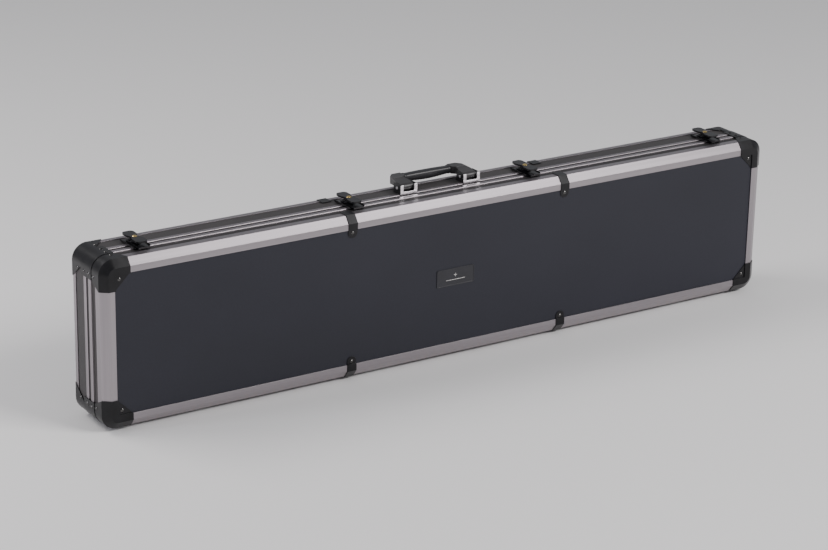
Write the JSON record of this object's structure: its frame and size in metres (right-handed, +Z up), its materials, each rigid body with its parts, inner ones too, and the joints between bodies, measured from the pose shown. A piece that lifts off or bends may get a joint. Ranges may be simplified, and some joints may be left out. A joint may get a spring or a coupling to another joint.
{
  "type": "telescope carry case",
  "caption": "Long flat carry case with anodised aluminium frame, black laminate panels, steel corners, twist latches, folding handle and foam bays for a telescope tube",
  "frame": {"origin": "on the ground below the middle of the closed case standing on its hinge edge", "axes": "+X along the length, -Y towards the lid, +Z up towards the handle"},
  "size_m": [1.4072, 0.1204, 0.331],
  "materials": {
    "frame_metal": "anodised and brushed along the extrusion",
    "panel_laminate": "finely textured laminate on board",
    "side_laminate": "pebbled laminate",
    "black_steel": "satin black",
    "rivet_steel": "bright",
    "badge_metal": "satin with a raised bright rim",
    "foam": "open-cell polyurethane foam",
    "black_rubber": "matte",
    "zinc_steel": "zinc plated",
    "chrome": "polished",
    "arm_plastic": "moulded, satin",
    "grip_plastic": "fine grain",
    "brass": "polished",
    "latch_steel": "black nickel, satin"
  },
  "bodies": {
    "base": {"back_panel": "panel_laminate", "back_rail_top": "frame_metal", "back_rail_bottom": "frame_metal", "back_rail_left": "frame_metal", "back_rail_right": "frame_metal", "side_panel_top": "side_laminate", "side_panel_bottom": "side_laminate", "side_panel_left": "side_laminate", "side_panel_right": "side_laminate", "closure_rail_top": "frame_metal", "closure_rail_bottom": "frame_metal", "closure_rail_left": "frame_metal", "closure_rail_right": "frame_metal", "back_corner_top_left": "black_steel", "back_corner_top_right": "black_steel", "back_corner_bottom_left": "black_steel", "back_corner_bottom_right": "black_steel", "corner_joiners": "black_steel", "back_clips": "black_steel", "back_rivets": "rivet_steel", "base_hinge_leaves": "zinc_steel", "hinge_pins": "zinc_steel", "foam_floor": "foam", "foam_walls": "foam", "tube_saddles": "foam", "feet": "black_rubber", "foot_screws": "zinc_steel", "handle_bracket_left": "chrome", "handle_bracket_right": "chrome", "handle_pins": "chrome", "latch_bases": "latch_steel", "latch_spindles": "brass"},
    "lid": {"lid_panel": "panel_laminate", "lid_rail_top": "frame_metal", "lid_rail_bottom": "frame_metal", "lid_rail_left": "frame_metal", "lid_rail_right": "frame_metal", "lid_corner_top_left": "black_steel", "lid_corner_top_right": "black_steel", "lid_corner_bottom_left": "black_steel", "lid_corner_bottom_right": "black_steel", "lid_clips": "black_steel", "lid_rivets": "rivet_steel", "badge_plate": "badge_metal", "lid_foam": "foam", "rim_seal": "black_rubber", "latch_keepers": "latch_steel", "lid_hinge_leaves": "zinc_steel"},
    "handle": {"handle_arms": "arm_plastic", "handle_grip": "grip_plastic"},
    "latch_1": {"latch_wing_1": "latch_steel"},
    "hook_1": {"latch_hook_1": "latch_steel"},
    "latch_2": {"latch_wing_2": "latch_steel"},
    "hook_2": {"latch_hook_2": "latch_steel"},
    "latch_3": {"latch_wing_3": "latch_steel"},
    "hook_3": {"latch_hook_3": "latch_steel"},
    "latch_4": {"latch_wing_4": "latch_steel"},
    "hook_4": {"latch_hook_4": "latch_steel"}
  },
  "joints": [
    {"name": "lid_hinge", "type": "hinge", "parent": "base", "child": "lid", "pos_m": [0, -0.0235, 0.0055], "axis": [1, 0, 0], "range_deg": [0, 95]},
    {"name": "handle_fold", "type": "hinge", "parent": "base", "child": "handle", "pos_m": [0, 0.009, 0.3193], "axis": [1, 0, 0], "range_deg": [0, 95]},
    {"name": "latch_1_turn", "type": "hinge", "parent": "base", "child": "latch_1", "pos_m": [-0.607, 0.0035, 0.315], "axis": [0, 0, 1], "range_deg": [0, 180]},
    {"name": "latch_2_turn", "type": "hinge", "parent": "base", "child": "latch_2", "pos_m": [-0.188, 0.0035, 0.315], "axis": [0, 0, 1], "range_deg": [0, 180]},
    {"name": "latch_3_turn", "type": "hinge", "parent": "base", "child": "latch_3", "pos_m": [0.188, 0.0035, 0.315], "axis": [0, 0, 1], "range_deg": [0, 180]},
    {"name": "latch_4_turn", "type": "hinge", "parent": "base", "child": "latch_4", "pos_m": [0.607, 0.0035, 0.315], "axis": [0, 0, 1], "range_deg": [0, 180]},
    {"name": "hook_1_slide", "type": "slide", "parent": "base", "child": "hook_1", "axis": [0, -1, 0], "range_m": [0, 0.0061]},
    {"name": "hook_2_slide", "type": "slide", "parent": "base", "child": "hook_2", "axis": [0, -1, 0], "range_m": [0, 0.0061]},
    {"name": "hook_3_slide", "type": "slide", "parent": "base", "child": "hook_3", "axis": [0, -1, 0], "range_m": [0, 0.0061]},
    {"name": "hook_4_slide", "type": "slide", "parent": "base", "child": "hook_4", "axis": [0, -1, 0], "range_m": [0, 0.0061]}
  ],
  "couplings": [
    {"joint": "hook_1_slide", "follows": "latch_1_turn", "m_per_rad": 0.0019099},
    {"joint": "hook_2_slide", "follows": "latch_2_turn", "m_per_rad": 0.0019099},
    {"joint": "hook_3_slide", "follows": "latch_3_turn", "m_per_rad": 0.0019099},
    {"joint": "hook_4_slide", "follows": "latch_4_turn", "m_per_rad": 0.0019099}
  ]
}
